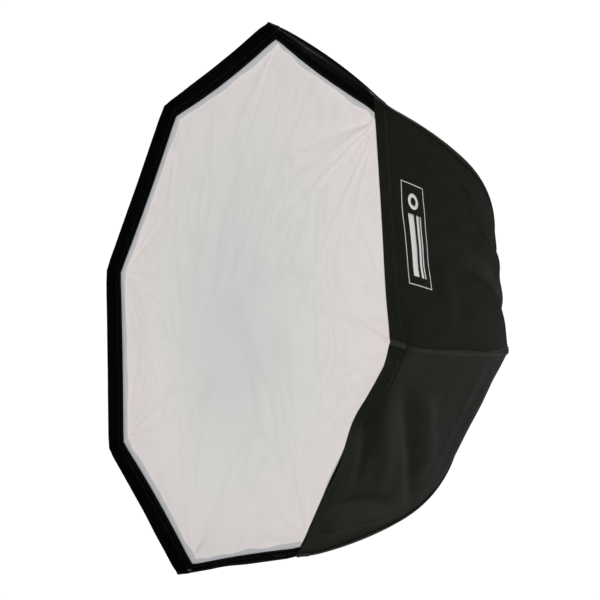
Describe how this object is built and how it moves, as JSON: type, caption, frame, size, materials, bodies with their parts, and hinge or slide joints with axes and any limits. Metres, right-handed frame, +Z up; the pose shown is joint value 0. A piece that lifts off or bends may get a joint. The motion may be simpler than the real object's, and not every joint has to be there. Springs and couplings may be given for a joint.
{
  "type": "studio softbox",
  "caption": "Deep octagonal studio softbox: a nylon shell on sprung rods in a turning speed ring, with a white front diffuser that comes off.",
  "frame": {"origin": "centre of the mount ring's bore at its rear face", "axes": "+Y points out of the back, towards the lamp that holds the softbox; the diffuser faces -Y; +Z is up and +X is to the right seen from the front's -Y side looking along +Y"},
  "size_m": [1.1108, 0.6746, 1.1108],
  "materials": {
    "ring_black": "satin black powder coat on a cast ring",
    "mount_metal": "turned, satin",
    "screw_steel": "zinc plated",
    "knob_plastic": "fine moulded grain",
    "rod_steel": "drawn spring rod",
    "ferrule_brass": "turned, satin",
    "tip_rubber": "matt",
    "webbing_black": "woven webbing",
    "shell_nylon": "coated nylon with a soft sheen outside and a silver lining inside",
    "seam_binding": "folded nylon binding, a little lighter than the shell",
    "label_white": "plain white print",
    "loop_tape": "loop tape",
    "hook_border": "matt woven border with hook tape behind",
    "diffuser_white": "white ripstop nylon, translucent",
    "baffle_white": "white nylon, translucent",
    "strap_white": "white elastic",
    "snap_metal": "plated"
  },
  "bodies": {
    "frame": {"speed_ring": "ring_black", "retaining_ring": "ring_black", "retaining_screws": "screw_steel", "rib_rod_1": "rod_steel", "rib_rod_2": "rod_steel", "rib_rod_3": "rod_steel", "rib_rod_4": "rod_steel", "rib_rod_5": "rod_steel", "rib_rod_6": "rod_steel", "rib_rod_7": "rod_steel", "rib_rod_8": "rod_steel", "rod_ferrules": "ferrule_brass", "rod_tips": "tip_rubber", "corner_pockets": "webbing_black", "rib_sleeves": "webbing_black", "gore_1": "shell_nylon", "gore_2": "shell_nylon", "gore_3": "shell_nylon", "gore_4": "shell_nylon", "gore_5": "shell_nylon", "gore_6": "shell_nylon", "gore_7": "shell_nylon", "gore_8": "shell_nylon", "seam_tapes": "seam_binding", "corner_tabs": "webbing_black", "label_print": "label_white", "back_collar": "shell_nylon", "loop_flange": "loop_tape", "inner_baffle": "baffle_white", "baffle_straps": "strap_white", "baffle_snaps": "snap_metal"},
    "mount": {"mount_ring": "mount_metal"},
    "lock": {"lock_screw": "screw_steel", "lock_knob": "knob_plastic"},
    "diffuser": {"diffuser_border": "hook_border", "front_diffuser": "diffuser_white"}
  },
  "joints": [
    {"name": "mount_turn", "type": "hinge", "parent": "frame", "child": "mount", "pos_m": [0, 0, 0], "axis": [0, 1, 0], "continuous": true},
    {"name": "lock_screw_turn", "type": "hinge", "parent": "frame", "child": "lock", "pos_m": [0.09, -0.021, 0], "axis": [1, 0, 0], "range_deg": [0, 720]},
    {"name": "diffuser_off", "type": "slide", "parent": "frame", "child": "diffuser", "axis": [0, -1, 0], "range_m": [0, 0.35]}
  ]
}
